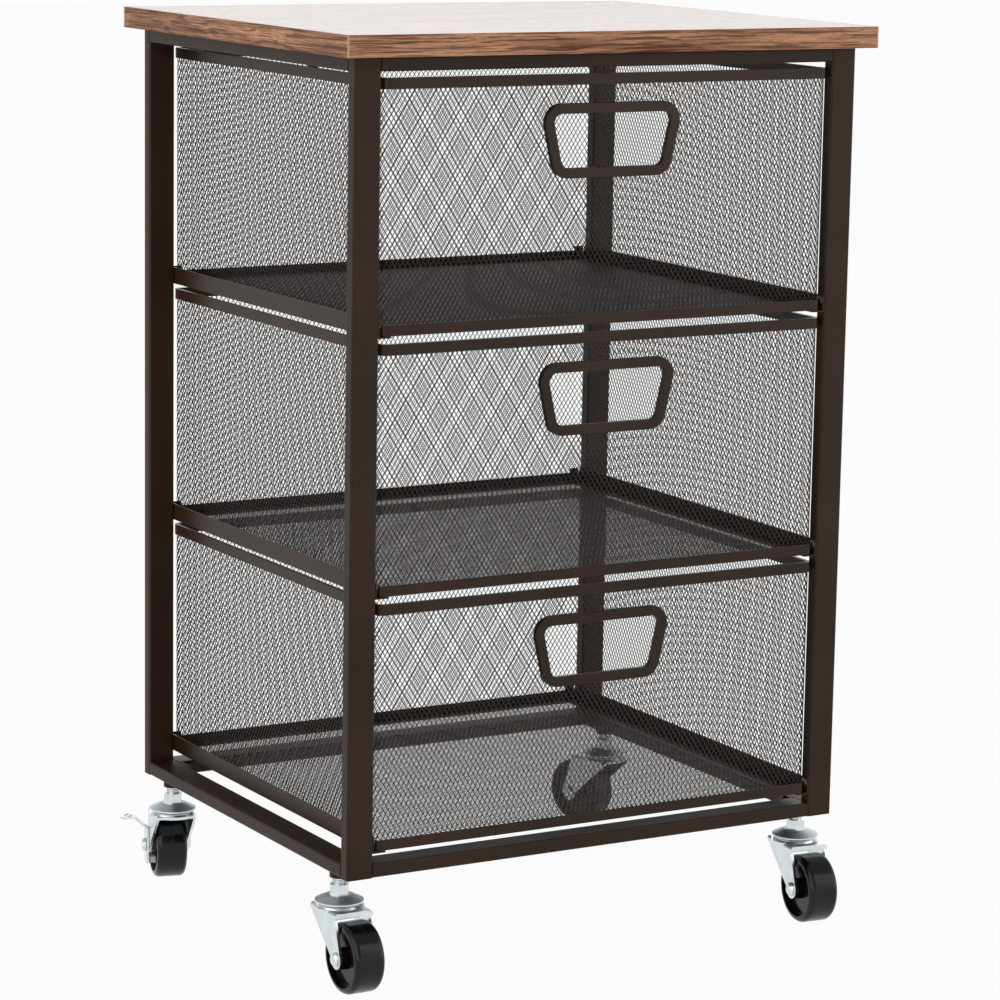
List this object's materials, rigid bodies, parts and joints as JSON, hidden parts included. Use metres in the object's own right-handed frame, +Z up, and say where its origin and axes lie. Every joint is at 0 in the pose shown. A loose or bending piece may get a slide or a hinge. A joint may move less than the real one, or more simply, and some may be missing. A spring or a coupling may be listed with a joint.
{
  "type": "rolling storage cart",
  "caption": "Rolling cart with a wood-look top on a dark steel tube frame, mesh drawers that slide out on angle runners, and swivel casters with foot brakes at the rear.",
  "frame": {"origin": "on the floor below the centre of the frame", "axes": "+Z up, the drawers open towards -Y, +X to the right as seen from the front"},
  "size_m": [0.4386, 0.3697, 0.6555],
  "materials": {
    "laminate_board": "wood-look laminate with a satin sheen",
    "edge_band": "wood-look edge band, satin",
    "bronze_paint": "dark bronze powder coat, satin",
    "bronze_mesh": "diamond expanded metal with dark bronze powder coat",
    "zinc_plate": "bright zinc plate",
    "screw_steel": "bright zinc plate",
    "black_wheel": "black moulded plastic, glossy",
    "white_nylon": "pale nylon, matt"
  },
  "bodies": {
    "frame": {"board_screws": "screw_steel", "caster_front_left_stem": "zinc_plate", "caster_front_left_upper_race": "zinc_plate", "caster_front_right_stem": "zinc_plate", "caster_front_right_upper_race": "zinc_plate", "caster_rear_left_stem": "zinc_plate", "caster_rear_left_upper_race": "zinc_plate", "caster_rear_right_stem": "zinc_plate", "caster_rear_right_upper_race": "zinc_plate", "edge_bands": "edge_band", "foot_rail_front": "bronze_paint", "foot_rail_left": "bronze_paint", "foot_rail_rear": "bronze_paint", "foot_rail_right": "bronze_paint", "frame_bolts": "screw_steel", "post_front_left": "bronze_paint", "post_front_right": "bronze_paint", "post_rear_left": "bronze_paint", "post_rear_right": "bronze_paint", "runner_bottom_left": "bronze_paint", "runner_bottom_right": "bronze_paint", "runner_middle_left": "bronze_paint", "runner_middle_right": "bronze_paint", "runner_screws": "screw_steel", "runner_top_left": "bronze_paint", "runner_top_right": "bronze_paint", "swivel_balls": "zinc_plate", "top_rail_front": "bronze_paint", "top_rail_left": "bronze_paint", "top_rail_rear": "bronze_paint", "top_rail_right": "bronze_paint", "wood_top": "laminate_board"},
    "bottom_drawer": {"drawer_bottom_mesh_basket": "bronze_mesh", "drawer_bottom_top_rim": "bronze_paint", "drawer_bottom_bottom_rim": "bronze_paint", "drawer_bottom_handle": "bronze_paint"},
    "middle_drawer": {"drawer_middle_mesh_basket": "bronze_mesh", "drawer_middle_top_rim": "bronze_paint", "drawer_middle_bottom_rim": "bronze_paint", "drawer_middle_handle": "bronze_paint"},
    "top_drawer": {"drawer_top_mesh_basket": "bronze_mesh", "drawer_top_top_rim": "bronze_paint", "drawer_top_bottom_rim": "bronze_paint", "drawer_top_handle": "bronze_paint"},
    "caster_front_left_swivel": {"caster_front_left_fork": "zinc_plate", "caster_front_left_axle": "zinc_plate"},
    "caster_front_left_roller": {"caster_front_left_wheel": "black_wheel"},
    "caster_front_right_swivel": {"caster_front_right_fork": "zinc_plate", "caster_front_right_axle": "zinc_plate"},
    "caster_front_right_roller": {"caster_front_right_wheel": "black_wheel"},
    "caster_rear_left_swivel": {"caster_rear_left_fork": "zinc_plate", "caster_rear_left_axle": "zinc_plate"},
    "caster_rear_left_roller": {"caster_rear_left_wheel": "black_wheel"},
    "caster_rear_left_brake": {"caster_rear_left_brake_lever": "zinc_plate", "caster_rear_left_brake_shoe": "white_nylon"},
    "caster_rear_right_swivel": {"caster_rear_right_fork": "zinc_plate", "caster_rear_right_axle": "zinc_plate"},
    "caster_rear_right_roller": {"caster_rear_right_wheel": "black_wheel"},
    "caster_rear_right_brake": {"caster_rear_right_brake_lever": "zinc_plate", "caster_rear_right_brake_shoe": "white_nylon"}
  },
  "joints": [
    {"name": "bottom_drawer_slide", "type": "slide", "parent": "frame", "child": "bottom_drawer", "axis": [0, -1, 0], "range_m": [0, 0.22]},
    {"name": "middle_drawer_slide", "type": "slide", "parent": "frame", "child": "middle_drawer", "axis": [0, -1, 0], "range_m": [0, 0.22]},
    {"name": "top_drawer_slide", "type": "slide", "parent": "frame", "child": "top_drawer", "axis": [0, -1, 0], "range_m": [0, 0.22]},
    {"name": "caster_front_left_swivel_turn", "type": "hinge", "parent": "frame", "child": "caster_front_left_swivel", "pos_m": [-0.19, -0.13535, 0.056], "axis": [0, 0, 1], "continuous": true},
    {"name": "caster_front_left_roll", "type": "hinge", "parent": "caster_front_left_swivel", "child": "caster_front_left_roller", "pos_m": [-0.19, -0.15935, 0.025], "axis": [1, 0, 0], "continuous": true},
    {"name": "caster_front_right_swivel_turn", "type": "hinge", "parent": "frame", "child": "caster_front_right_swivel", "pos_m": [0.19, -0.13535, 0.056], "axis": [0, 0, 1], "continuous": true},
    {"name": "caster_front_right_roll", "type": "hinge", "parent": "caster_front_right_swivel", "child": "caster_front_right_roller", "pos_m": [0.18749, -0.15922, 0.025], "axis": [0.9945, -0.1045, 0], "continuous": true},
    {"name": "caster_rear_left_swivel_turn", "type": "hinge", "parent": "frame", "child": "caster_rear_left_swivel", "pos_m": [-0.19, 0.13535, 0.056], "axis": [0, 0, 1], "continuous": true},
    {"name": "caster_rear_left_roll", "type": "hinge", "parent": "caster_rear_left_swivel", "child": "caster_rear_left_roller", "pos_m": [-0.18379, 0.15853, 0.025], "axis": [-0.9659, 0.2588, 0], "continuous": true},
    {"name": "caster_rear_left_brake_press", "type": "hinge", "parent": "caster_rear_left_swivel", "child": "caster_rear_left_brake", "pos_m": [-0.18379, 0.15853, 0.025], "axis": [-0.9659, 0.2588, 0], "range_deg": [0, 30]},
    {"name": "caster_rear_right_swivel_turn", "type": "hinge", "parent": "frame", "child": "caster_rear_right_swivel", "pos_m": [0.19, 0.13535, 0.056], "axis": [0, 0, 1], "continuous": true},
    {"name": "caster_rear_right_roll", "type": "hinge", "parent": "caster_rear_right_swivel", "child": "caster_rear_right_roller", "pos_m": [0.18379, 0.15853, 0.025], "axis": [-0.9659, -0.2588, 0], "continuous": true},
    {"name": "caster_rear_right_brake_press", "type": "hinge", "parent": "caster_rear_right_swivel", "child": "caster_rear_right_brake", "pos_m": [0.18379, 0.15853, 0.025], "axis": [-0.9659, -0.2588, 0], "range_deg": [0, 30]}
  ]
}
